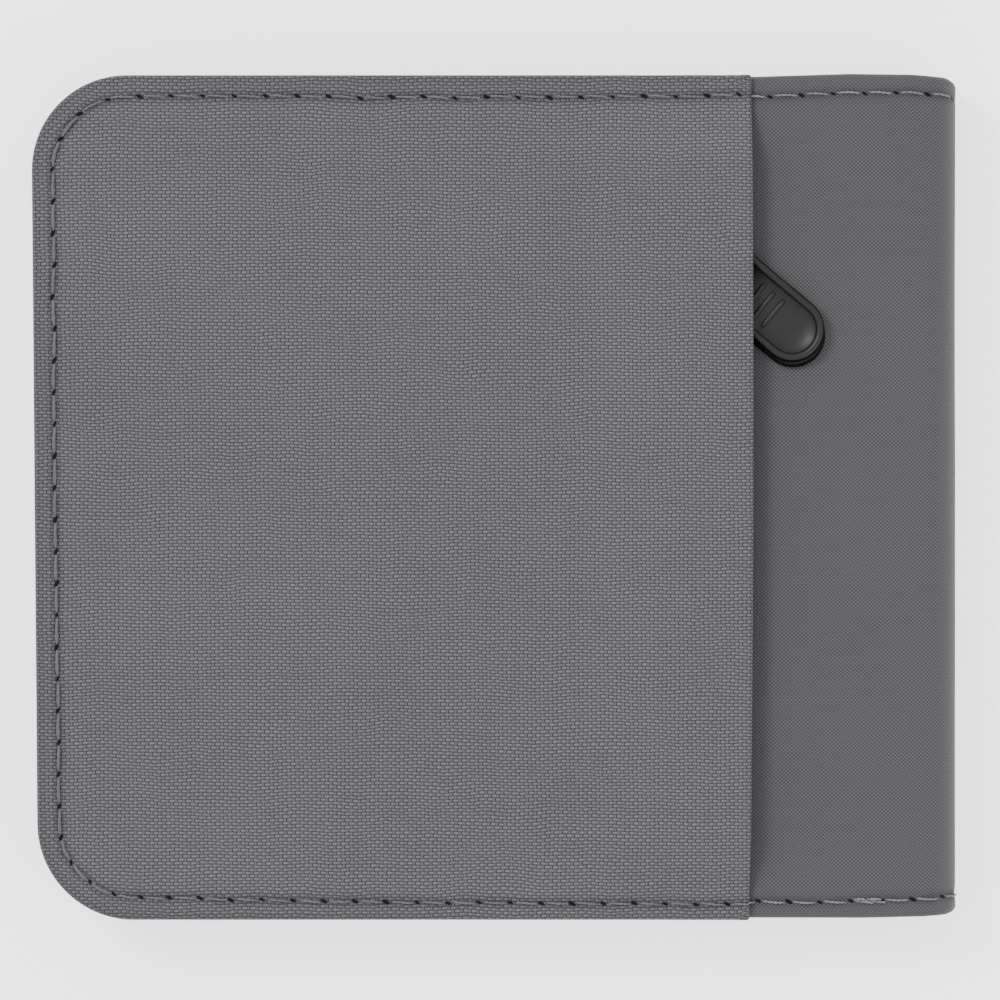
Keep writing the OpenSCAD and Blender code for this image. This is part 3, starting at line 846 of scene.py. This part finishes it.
def plyTemplate(look):  # two strands twisted round each other: x from 0 to 1, y across, z up
    bm = bmesh.new()
    uv = bm.loops.layers.uv.new("weave")
    bm.loops.layers.uv.new("seam")
    for strand in (0, 1):
        made = bmesh.ops.create_grid(bm, x_segments=look["rings"], y_segments=look["sides"],
                                     size=1.0)
        for vert in made["verts"]:
            t, around = (vert.co.x + 1) / 2, (vert.co.y + 1) * math.pi
            twist = math.pi * (strand + 2 * look["turns"] * t)
            size = look["strand"] * (0.75 + 0.25 * math.sin(math.pi * t))
            y = look["ply"] * math.cos(twist) + size * math.cos(around + twist)
            z = look["ply"] * math.sin(twist) + size * math.sin(around + twist)
            for loop in vert.link_loops:
                loop[uv].uv = (t * 0.038, around / (2 * math.pi))
            vert.co = (t, y, z)
    bmesh.ops.remove_doubles(bm, verts=bm.verts[:], dist=0.0005)
    bmesh.ops.recalc_face_normals(bm, faces=bm.faces[:])
    for face in bm.faces:
        face.smooth = True
    mesh = bpy.data.meshes.new("plyTemplate")
    bm.to_mesh(mesh)
    bm.free()
    return mesh


def threadRow(name, look, stitches, place, material):
    template = plyTemplate(look)
    bm = bmesh.new()
    for number in stitches:
        start = holeLength(number) + look["gap"]
        end = holeLength(number + 1) - look["gap"]
        first = len(bm.verts)
        bm.from_mesh(template)
        bm.verts.ensure_lookup_table()
        slant = look["slant"] * (1 + 0.6 * ripple(number * 7.3, 0.0, 3.0, 1.0))
        lift = look["arch"] * (1 + 0.3 * ripple(number * 5.1, 9.0, 3.0, 2.0))
        for vert in bm.verts[first:]:
            t, side, up = vert.co
            rise = math.sin(math.pi * t ** look["skew"]) ** 0.5
            arch = -look["sink"] + (lift + look["sink"]) * rise
            across = side + slant * (1 - 2 * t) - look["sag"] * math.sin(math.pi * t)
            x, y = seamPoint(start + (end - start) * t, across)
            vert.co = Vector(place(x, y, arch + up)) * mm
    bpy.data.meshes.remove(template)
    return asObject(name, bm, material)


flapS = flap["edge"] - cornerX


def panelStitchPlace(x, y, height):
    edge = flapEdge(y) - 0.3
    onStrip = smooth(x, edge - 0.2, edge + 1.3)
    px, py, pz = panelPlace(min(x, edge), y, panelLift(min(x, edge), y) + height)
    sx, sy, sz = upperCover(x, y, coverLift(x, y) + height)
    if x < edge:
        return px, py, pz
    return sx, sy, pz + (sz - pz) * onStrip


def stripStitchPlace(x, y, height):
    return upperCover(x, y, coverLift(x, y) + height)


def coverStitchPlace(x, y, height):
    return lowerCover(x, y, min(coverLift(x, y), 0.0) - 0.19 + height * 0.5)


firstHole, lastHole = seam["holes"][0][1], seam["holes"][-1][1]
everyStitch = range(firstHole, lastHole)
bottomFlapS = 2 * cornerArc + 2 * cornerY + flapS
onPanel = [n for n in everyStitch
           if -flapS - 1.6 < holeLength(n) and holeLength(n + 1) < bottomFlapS + 1.6]
onStrip = [n for n in everyStitch if n not in onPanel]
sideStitches = [n for n in onPanel if 2 <= n < 28]
endStitches = [n for n in onPanel if n not in sideStitches]
calmLook = dict(stitchLook, arch=0.19, ply=0.06, strand=0.17, turns=0.7, slant=0.03, sink=0.15)

panelStitching = threadRow("panelStitching", dict(stitchLook, arch=0.27, skew=1.5), endStitches,
                           panelStitchPlace, panelThread)
fitted(panelStitching, ["back_half"], ["panel_stitching"])
sideStitching = threadRow("sideStitching", calmLook, sideStitches, panelStitchPlace, greyThread)
fitted(sideStitching, ["back_half"], ["panel_stitching"])
stripStitching = threadRow("stripStitching", dict(stitchLook, sag=0.09), onStrip,
                           stripStitchPlace, lightThread)
fitted(stripStitching, ["spine", "back_half"], ["strip_stitching", "spine_stitching"],
       upperBend)
coverStitching = threadRow("coverStitching", stitchLook, everyStitch, coverStitchPlace,
                           lightThread)
fitted(coverStitching, ["front_half", "spine"], ["front_stitching"], lowerBend)
print("edge stitching made")


def slabPlace(z, down=False):
    def place(x, y, height):
        return leaned(x, y), y, (z - height if down else z + height)
    return place


# Each pocket's node, its body, whether it faces down, and what it lies on.
pockets = {
    "pocketFrontBack": ("front_pocket_back", "front_half", False, "innerPanelFront"),
    "pocketFrontMid": ("front_pocket_mid", "front_half", False, "pocketFrontBack"),
    "pocketBackBack": ("back_pocket_back", "back_half", True, "innerPanelBack"),
    "pocketBackMid": ("back_pocket_mid", "back_half", True, "pocketBackBack"),
    "pocketBackFront": ("back_pocket_front", "back_half", True, "pocketBackMid"),
}
pocketCuts = {}
mouthHem = 3.6  # how deep the hem at a pocket's mouth is
seamIn = 2.2  # how far inside its edge a pocket is sewn


def innerPocket(name, node, body, down, behind):
    low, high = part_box(node)
    face = (low.z if down else high.z) / mm
    y1 = high.y / mm
    cut = {
        "x0": low.x / mm + 0.25, "x1": high.x / mm - 0.1, "y0": low.y / mm + 0.25, "y1": y1,
        "leftRadius": wallet["cornerRadius"] - 0.3, "rightRadius": 0.8, "round": "B",
        "turned": "LRB", "edgeRadius": 0.32, "drop": 0.72, "thickness": 0.34,
        "fine": 0.3, "coarse": 1.6, "band": 4.5, "material": pocketCloth, "faceDown": down,
        "held": "laid", "on": [behind],
    }

    def lift(x, y):
        hem = 0.09 * smooth(y, y1 - mouthHem, y1 - mouthHem + 0.4)
        seat = 0.1 * ripple(x, y, 22, 3.0) * smooth(y1 - y, 0, 6)
        sewn = min(x - cut["x0"], cut["x1"] - x, y - cut["y0"])
        groove = -0.1 * math.exp(-((sewn - seamIn) / 0.5) ** 2)
        return hem + groove + min(0.0, seat) - 0.04
    piece = clothSheet(name, cut, slabPlace(face, down), lift)
    fitted(piece, [body], [node])
    return cut


for name, (node, body, down, behind) in pockets.items():
    pocketCuts[name] = innerPocket(name, node, body, down, behind)

windowLow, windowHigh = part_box("window_frame")
filmLow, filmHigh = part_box("window_film")
filmLap = 2.5  # how far the film reaches under the frame
windowHole = (filmLow.x / mm + filmLap, filmHigh.x / mm - filmLap,
              filmLow.y / mm + filmLap, filmHigh.y / mm - filmLap)
windowCut = {
    "x0": windowLow.x / mm + 0.25, "x1": windowHigh.x / mm - 0.1,
    "y0": windowLow.y / mm + 0.25, "y1": windowHigh.y / mm,
    "leftRadius": wallet["cornerRadius"] - 0.3, "rightRadius": 0.8, "round": "B",
    "turned": "LRB", "edgeRadius": 0.32, "drop": 0.9, "thickness": 0.34,
    "fine": 0.3, "coarse": 0.9, "band": 5.0, "material": pocketCloth,
    "held": "laid", "on": ["window_film", "pocketFrontMid"],
}


def windowLift(x, y):
    sewn = min(x - windowCut["x0"], windowCut["x1"] - x, y - windowCut["y0"])
    return -0.04 - 0.06 * math.exp(-((sewn - seamIn) / 0.7) ** 2)


windowFrame = clothSheet("windowFrame", windowCut, slabPlace(windowHigh.z / mm), windowLift,
                         windowHole)
fitted(windowFrame, ["front_half"], ["window_frame"])


# How the inner panels turn up into the fold, in millimetres.
innerTurn = {
    "before": 0.6,  # the turn starts this far before the node's end
    "radius": 1.4,
    "past": 0.8,  # and the bend between the bodies ends this far past it
    "under": 1.11,  # at the bottom seam it lies this far under the fold's outside
    "onto": 5.0,
    "sewnBelow": -47.0,
    "freeAbove": -42.0,
}
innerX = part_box("front_inner_panel")[1].x / mm
turnX = innerX - innerTurn["before"]


def innerPanelPlace(base, upper):
    radius = innerTurn["radius"]
    endX = turnX + radius * math.pi / 2 + wallet["thickness"] / 2 - base - radius

    def sewnDown(x, height):  # at the bottom seam it lies against the lining, round the fold
        inner = wallet["foldRadius"] - innerTurn["under"]
        onto = smooth(x, turnX - innerTurn["onto"], turnX)
        along = min(1.0, max(0.0, (x - turnX) / (endX - turnX)))
        if along > 0:
            return foldSection(bendX + along * (midSpine - bendX), -height, inner)
        drop = (base - wallet["foldRadius"] + inner) * onto
        return x + (bendX - turnX) * onto, base + height - drop

    def place(x, y, height):
        start, z = x, base + height
        if x > turnX:
            turn = (x - turnX) / (radius * math.pi / 2)
            if turn < 1:
                a = turn * math.pi / 2
                outX = turnX + (radius - height) * math.sin(a)
                z = base + radius - (radius - height) * math.cos(a)
            else:
                outX = turnX + radius - height
                z = base + radius + (x - turnX - radius * math.pi / 2)
            x = outX
        if y > cornerY:
            corner = math.sqrt(wallet["cornerRadius"] ** 2 - (y - cornerY) ** 2)
            away = 1 - smooth(x, wallet["freeX"], wallet["freeX"] + 8)
            x += (wallet["cornerRadius"] - corner + 0.1) * away
        sewn = 1 - smooth(y, innerTurn["sewnBelow"], innerTurn["freeAbove"])
        if sewn:
            sewnX, sewnZ = sewnDown(start, height)
            x, z = x + (sewnX - x) * sewn, z + (sewnZ - z) * sewn
            y += (pulledY(start, y) - y) * sewn
        return leaned(x, y), y, (wallet["thickness"] - z if upper else z)
    return place


def innerPanel(name, node, upper):
    low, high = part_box(node)
    base = (wallet["thickness"] - low.z / mm) if upper else high.z / mm
    turn = innerTurn["radius"]
    cut = {
        "x0": low.x / mm + 0.3, "y0": low.y / mm + 0.3, "y1": high.y / mm,
        "x1": turnX + turn * math.pi / 2 + (wallet["thickness"] / 2 - base - turn),
        "leftRadius": wallet["cornerRadius"] - 0.3, "rightRadius": 0.8, "round": "B",
        "turned": "LB", "edgeRadius": 0.25, "drop": 0.6, "thickness": 0.26,
        "fine": 0.35, "coarse": 2.0, "band": 4.5, "rightBand": 6.0, "material": pocketCloth,
        "faceDown": upper, "held": "folded",
        "on": ["noteSeamBack" if upper else "noteSeamFront"],
    }
    y1 = cut["y1"]
    piece = clothSheet(name, cut, innerPanelPlace(base, upper),
                       lambda x, y: -0.07 + 0.05 * smooth(y, y1 - mouthHem, y1 - mouthHem + 0.4))
    flatEnd = (turnX * mm, 0, level(node, 0 if upper else 1) * mm)
    rise = -turn if upper else turn
    turnEnd = ((innerX + innerTurn["past"]) * mm, 0, flatEnd[2] + rise * mm)
    if upper:
        bodies, bend = ["spine", "back_half"], (turnEnd, flatEnd)
    else:
        bodies, bend = ["front_half", "spine"], (flatEnd, turnEnd)
    return fitted(piece, bodies, [node, "spine_inner_panel"], bend)


innerPanel("innerPanelFront", "front_inner_panel", False)
innerPanel("innerPanelBack", "back_inner_panel", True)


def liningPlace(base, upper):
    inner = wallet["foldRadius"] - 0.55

    def place(x, y, height):
        settle = smooth(x, bendX - 5, bendX - 1)
        flatZ = base + height + (wallet["foldRadius"] - inner - base) * settle
        if x < bendX:
            outX, z = x, flatZ
        else:
            outX, z = foldSection(x, -height, inner)
        y = pulledY(x, y)
        return leaned(outX, y), y, (wallet["thickness"] - z if upper else z)
    return place


liningCut = {
    "x0": wallet["freeX"] + 0.55, "x1": midSpine, "y0": -wallet["halfHeight"] + 0.55,
    "y1": wallet["halfHeight"] - 0.55, "leftRadius": wallet["cornerRadius"] - 0.55,
    "rightRadius": 0.8, "round": "TB", "turned": "LTB", "edgeRadius": 0.15, "drop": 0.3,
    "thickness": 0.2, "fine": 0.35, "coarse": 2.0, "band": 3.0, "rightBand": 9.0,
    "material": liningCloth, "held": "folded", "on": ["front_board"],
}
liningFront = clothSheet("liningFront", liningCut, liningPlace(level("front_note_seam", 0) - 0.02, False))
fitted(liningFront, ["front_half", "spine"], ["front_lining", "spine_lining"],
       lowerBend)
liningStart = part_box("back_fold_lining")[0].x / mm
foldLining = clothSheet(
    "foldLining", dict(liningCut, x0=liningStart, turned="TB", leftRadius=0.5, faceDown=True,
                       on=["coinPocketSeam"]),
    liningPlace(wallet["thickness"] - level("back_fold_lining", 1) + 0.28, True))
fitted(foldLining, ["spine", "back_half"], ["back_fold_lining", "spine_lining"],
       upperBend)

wallLow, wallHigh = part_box("coin_pocket_back_wall")
wallCut = dict(liningCut, x1=wallHigh.x / mm, rightBand=3.0, thickness=0.24, faceDown=True,
               held="laid", on=["noteSeamBack"])
coinWall = clothSheet("coinPocketWall", wallCut, slabPlace(wallLow.z / mm + 0.02, True),
                      lambda x, y: min(0.0, 0.06 * ripple(x, y, 20, 8.0)))
fitted(coinWall, ["back_half"], ["coin_pocket_back_wall"])
backLow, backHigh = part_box("panel_backing")
backingCut = dict(liningCut, x0=backLow.x / mm + 0.5, x1=backHigh.x / mm, thickness=0.4,
                  drop=0.45, edgeRadius=0.3, rightBand=3.0, held="laid", on=["coinPocketSeam"])
panelBacking = clothSheet("panelBacking", backingCut, slabPlace(backHigh.z / mm - 0.02))
fitted(panelBacking, ["back_half"], ["panel_backing"])
print("inner layers made")


# The rolled bands that join the layers at their edges, in millimetres.
bandLook = {"inset": 0.7, "width": 3.2, "x1": 45.5, "y1": 42.5, "closed": False, "top": 0.0,
            "spacing": 2.5, "cornerSteps": 12, "sides": 10}


def seamBand(name, look, node, body):
    bm = bmesh.new()
    sides, inset, width = look["sides"], look["inset"], look["width"]
    z0, z1 = level(node, 0), level(node, 1) - look["top"]
    spacing, steps = look["spacing"], look["cornerSteps"]
    radius = wallet["cornerRadius"] - inset - width / 2
    points = []
    x0 = wallet["freeX"] + inset + width / 2
    yBottom = -wallet["halfHeight"] + inset + width / 2
    x = look["x1"]
    cx, cy = x0 + radius, yBottom + radius
    while x > cx:
        points.append((x, yBottom, 0.0, 1.0))
        x -= spacing
    for k in range(steps + 1):
        a = math.pi / 2 * k / steps
        points.append((cx - radius * math.sin(a), cy - radius * math.cos(a),
                       math.sin(a), math.cos(a)))
    top = look["y1"]
    y = cy + spacing
    limit = -cy if look["closed"] else top
    while y < limit:
        points.append((x0, y, 1.0, 0.0))
        y += spacing
    if look["closed"]:
        for k in range(steps + 1):
            a = math.pi / 2 * k / steps
            points.append((cx - radius * math.cos(a), -cy + radius * math.sin(a),
                           math.cos(a), -math.sin(a)))
        x = cx + spacing
        while x < look["x1"]:
            points.append((x, -yBottom, 0.0, -1.0))
            x += spacing
    else:
        points.append((x0, top, 1.0, 0.0))
    bmesh.ops.create_grid(bm, x_segments=len(points) - 1, y_segments=sides, size=1.0)
    uv = bm.loops.layers.uv.new("weave")
    bm.loops.layers.uv.new("seam")
    middle, half = (z0 + z1) / 2, (z1 - z0) / 2
    for vert in bm.verts:
        i = round((vert.co.x + 1) / 2 * (len(points) - 1))
        a = (vert.co.y + 1) * math.pi
        px, py, nx, ny = points[i]
        out = math.copysign(abs(math.cos(a)) ** 0.4, math.cos(a)) * width / 2
        up = math.copysign(abs(math.sin(a)) ** 0.6, math.sin(a)) * half
        for loop in vert.link_loops:
            loop[uv].uv = (i * 0.025, a * 0.01)
        vert.co = Vector((leaned(px + nx * out, py), py + ny * out, middle + up)) * mm
    bmesh.ops.remove_doubles(bm, verts=bm.verts[:], dist=0.00001)
    bmesh.ops.holes_fill(bm, edges=bm.edges[:], sides=0)
    bmesh.ops.recalc_face_normals(bm, faces=bm.faces[:])
    for face in bm.faces:
        face.smooth = True
    return fitted(asObject(name, bm, liningCloth), [body], [node])


seamBand("noteSeamFront", bandLook, "front_note_seam", "front_half")
seamBand("noteSeamBack", bandLook, "back_note_seam", "back_half")
seamBand("coinPocketSeam", dict(bandLook, closed=True, x1=46.5, top=0.45), "coin_pocket_seam",
         "back_half")
print("seams made")


def tapePiece(name, node):
    low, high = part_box(node)
    cut = {
        "x0": low.x / mm, "x1": high.x / mm, "y0": low.y / mm, "y1": high.y / mm,
        "leftRadius": 0.3, "rightRadius": 0.3, "round": "", "turned": "LR", "edgeRadius": 0.12,
        "drop": 0.2, "thickness": 0.3, "fine": 0.25, "coarse": 0.8, "band": 1.5,
        "material": tapeCloth,
    }
    piece = clothSheet(name, cut, lambda x, y, h: (x, y, high.z / mm - 0.03 + h),
                       lambda x, y: 0.015 * math.sin(x * 7.0))
    return fitted(piece, ["back_half"], [node])


tapePiece("zipTapeLeft", "zip_tape_left")
tapePiece("zipTapeRight", "zip_tape_right")


def straightThread(name, look, points, z, across, body, nodes, material, down=False):
    template = plyTemplate(look)
    bm = bmesh.new()
    for start, end in points:
        first = len(bm.verts)
        bm.from_mesh(template)
        bm.verts.ensure_lookup_table()
        dx, dy = end[0] - start[0], end[1] - start[1]
        length = math.hypot(dx, dy)
        nx, ny = -dy / length, dx / length
        for vert in bm.verts[first:]:
            t, side, up = vert.co
            side += across * (1 - 2 * t)
            arch = -look["sink"] + (look["arch"] + look["sink"]) * math.sin(math.pi * t) ** 0.45
            height = (arch + up) * (-1 if down else 1)
            x, y = start[0] + dx * t + nx * side, start[1] + dy * t + ny * side
            vert.co = Vector((leaned(x, y), y, z + height)) * mm
    bpy.data.meshes.remove(template)
    return fitted(asObject(name, bm, material), [body], nodes)


def stitchLine(x0, y0, x1, y1, pitch):
    length = math.hypot(x1 - x0, y1 - y0)
    count = max(1, int(length / pitch))
    step = 1.0 / count
    apart = 0.05  # the share of each stitch that is left open at either end
    found = []
    for k in range(count):
        a, b = (k + apart) * step, (k + 1 - apart) * step
        found.append(((x0 + (x1 - x0) * a, y0 + (y1 - y0) * a),
                      (x0 + (x1 - x0) * b, y0 + (y1 - y0) * b)))
    return found


zipSeamLow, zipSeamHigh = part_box("zip_seam_stitching")
zipSeamX = (zipSeamLow.x + zipSeamHigh.x) / 2 / mm
straightThread("zipSeamStitching", dict(stitchLook, arch=0.12),
               stitchLine(zipSeamX, zipSeamLow.y / mm, zipSeamX, zipSeamHigh.y / mm, 3.85),
               wallet["thickness"], 0.05, "back_half", ["zip_seam_stitching"], lightThread)
knotY = -wallet["halfHeight"] + seam["inset"] - 0.05
knot = [((42.9 + 0.52 * k, knotY + 0.24 * math.sin(2.2 * k)),
         (44.3 + 0.5 * k, knotY + 0.24 * math.cos(1.7 * k))) for k in range(6)]
straightThread("seamBackstitch", dict(stitchLook, arch=0.26, turns=1.2), knot,
               wallet["thickness"] + 0.05, 0.1, "back_half", ["seam_backstitch"], lightThread)

# Topstitching on the pockets, which shows when the wallet is open.
topStitch = dict(stitchLook, arch=0.08, ply=0.08, strand=0.07)
topPitch = 3.0
for name, (node, body, down, behind) in pockets.items():
    cut = pocketCuts[name]
    rowY = cut["y1"] - 2.4
    straightThread(name + "Stitching", topStitch,
                   stitchLine(cut["x0"] + 3, rowY, cut["x1"] - 3, rowY, topPitch),
                   level(node, 0 if down else 1), 0.04, body, None, greyThread, down)
frameX0, frameX1 = windowCut["x0"], windowCut["x1"]
frameY0, frameY1 = windowCut["y0"], windowCut["y1"]
around = 1.5  # how far outside the window its stitching runs
holeX0, holeX1 = windowHole[0] - around, windowHole[1] + around
holeY0, holeY1 = windowHole[2] - around, windowHole[3] + around
windowRows = [
    (frameX0 + 12, frameY0 + seamIn, frameX1 - 2, frameY0 + seamIn),
    (frameX1 - seamIn, frameY0 + 2, frameX1 - seamIn, frameY1 - 1),
    (frameX0 + seamIn, frameY0 + 12, frameX0 + seamIn, frameY1 - 1),
    (holeX0, holeY0, holeX1, holeY0),
    (holeX0, holeY1, holeX1, holeY1),
    (holeX0, holeY0, holeX0, holeY1),
    (holeX1, holeY0, holeX1, holeY1),
]
windowStitches = [stitch for row in windowRows for stitch in stitchLine(*row, topPitch)]
straightThread("windowStitching", topStitch, windowStitches, windowHigh.z / mm, 0.04, "front_half",
               None, greyThread)
print("thread made")


finishes = {
    "front_board": boardStock, "window_film": clearFilm, "zip_teeth_left": nylon,
    "zip_teeth_right": nylon, "zip_top_stops": dullMetal, "zip_bottom_stop": dullMetal,
    "slider_body": blackMetal, "slider_crown": blackMetal, "pull_link": blackMetal,
    "pull_grip": gripRubber,
}
for node, material in finishes.items():
    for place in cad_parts[node].material_slots:
        place.material = material


studio = {
    "floor": 2.0, "floorWhite": (0.93, 0.93, 0.93, 1.0), "glow": 1.6, "world": 1.25,
    "key": 8.6, "keySize": 0.36, "keyPlace": (-0.605, 0.48, 0.87),
    "fill": 0.5, "fillSize": 0.3, "fillPlace": (0.28, -0.2, 0.3),
    "lens": 250.0, "sensor": 36.0, "centreX": 0.6, "centreY": -0.24,
    "width": 119.6,  # how wide a view the camera has, in millimetres
}
bm = bmesh.new()
bmesh.ops.create_grid(bm, x_segments=1, y_segments=1, size=studio["floor"])
g = Graph("floorPaper")
paper = g.noise(g.objectPlace(), 40.0, 3.0)
floorMaterial = g.finish({
    "Base Color": studio["floorWhite"], "Roughness": 0.85 + paper * 0.1,
    "Emission Color": (1.0, 1.0, 1.0, 1.0), "Emission Strength": studio["glow"]})
floor = asObject("floor", bm, floorMaterial)
floor.location.z = -0.00005

world = bpy.data.worlds.new("softWorld")
bpy.context.scene.world = world
world.use_nodes = True
sky = world.node_tree.nodes["Background"]
sky.inputs[0].default_value = (1.0, 1.0, 1.0, 1.0)
sky.inputs[1].default_value = studio["world"]


def areaLight(name, power, size, place):
    data = bpy.data.lights.new(name, "AREA")
    data.energy = power
    data.size = size
    lamp = bpy.data.objects.new(name, data)
    lamp.location = place
    lamp.rotation_euler = (-Vector(place)).to_track_quat("-Z", "Y").to_euler()
    bpy.context.scene.collection.objects.link(lamp)
    return lamp


areaLight("key", studio["key"], studio["keySize"], studio["keyPlace"])
areaLight("fill", studio["fill"], studio["fillSize"], studio["fillPlace"])

camera = bpy.data.cameras.new("camera")
camera.lens = studio["lens"]
camera.sensor_width = studio["sensor"]
camera.clip_start = 0.01
eye = bpy.data.objects.new("camera", camera)
subject = panelBase * mm
eye.location = (studio["centreX"] * mm, studio["centreY"] * mm,
                subject + studio["width"] * mm * camera.lens / camera.sensor_width)
bpy.context.scene.collection.objects.link(eye)
bpy.context.scene.camera = eye

print("scene made")
